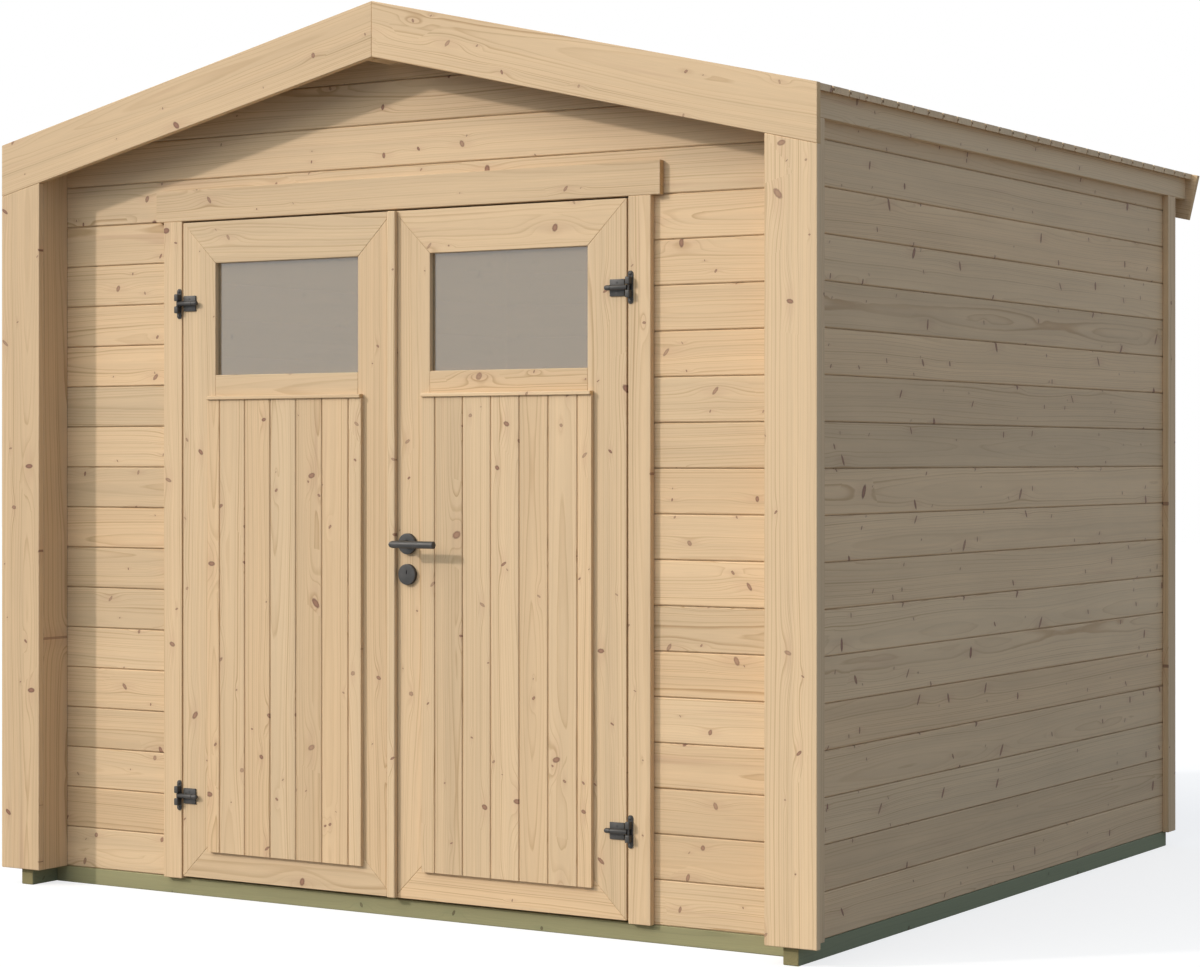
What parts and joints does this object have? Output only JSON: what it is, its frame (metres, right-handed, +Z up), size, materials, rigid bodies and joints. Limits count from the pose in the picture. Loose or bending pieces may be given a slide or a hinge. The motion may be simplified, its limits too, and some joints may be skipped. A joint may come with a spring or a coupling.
{
  "type": "garden shed",
  "caption": "Timber garden shed with a gabled board roof, a shallow porch between corner posts and a glazed double door that swings out, with a lever handle.",
  "frame": {"origin": "on the ground under the middle of the whole shed", "axes": "+X to the right seen from the front, -Y out of the front with the double door, +Z up"},
  "size_m": [2.566, 2.585, 2.3647],
  "materials": {
    "spruce": "planed, untreated",
    "treated_timber": "pressure treated, greenish",
    "black_ironmongery": "matt black powder coat",
    "window_glass": "clear"
  },
  "bodies": {
    "shed": {"left_bearer": "treated_timber", "right_bearer": "treated_timber", "front_bearer": "treated_timber", "rear_bearer": "treated_timber", "floor_joists": "treated_timber", "floor": "spruce", "left_wall": "spruce", "right_wall": "spruce", "rear_wall": "spruce", "left_front_wall": "spruce", "right_front_wall": "spruce", "front_gable": "spruce", "left_corner_post": "spruce", "right_corner_post": "spruce", "left_post_cover": "spruce", "right_post_cover": "spruce", "front_side_trims": "spruce", "rear_side_trims": "spruce", "back_trims": "spruce", "left_roof_deck": "spruce", "right_roof_deck": "spruce", "left_eave_board": "spruce", "right_eave_board": "spruce", "ridge_purlin": "spruce", "left_front_barge": "spruce", "right_front_barge": "spruce", "left_rear_barge": "spruce", "right_rear_barge": "spruce", "door_posts": "spruce", "door_lintel": "spruce", "jamb_trims": "spruce", "head_trim": "spruce", "jamb_hinges": "black_ironmongery"},
    "left_leaf": {"left_leaf_stiles": "spruce", "left_leaf_rails": "spruce", "left_leaf_panel": "spruce", "left_leaf_ledge": "spruce", "left_leaf_glass": "window_glass", "left_leaf_hinges": "black_ironmongery"},
    "right_leaf": {"right_leaf_stiles": "spruce", "right_leaf_rails": "spruce", "right_leaf_panel": "spruce", "right_leaf_ledge": "spruce", "right_leaf_glass": "window_glass", "right_leaf_hinges": "black_ironmongery", "meeting_strip": "spruce", "lock_roses": "black_ironmongery"},
    "lever": {"lever": "black_ironmongery"}
  },
  "joints": [
    {"name": "left_door_swing", "type": "hinge", "parent": "shed", "child": "left_leaf", "pos_m": [-0.718, -1.2055, 0.942], "axis": [0, 0, -1], "range_deg": [0, 150]},
    {"name": "right_door_swing", "type": "hinge", "parent": "shed", "child": "right_leaf", "pos_m": [0.718, -1.2055, 0.942], "axis": [0, 0, 1], "range_deg": [0, 150]},
    {"name": "lever_turn", "type": "hinge", "parent": "right_leaf", "child": "lever", "pos_m": [0.048, -1.1955, 0.97], "axis": [0, 1, 0], "range_deg": [0, 40], "stiffness_Nm_per_rad": 1, "springref_deg": -40.11}
  ]
}
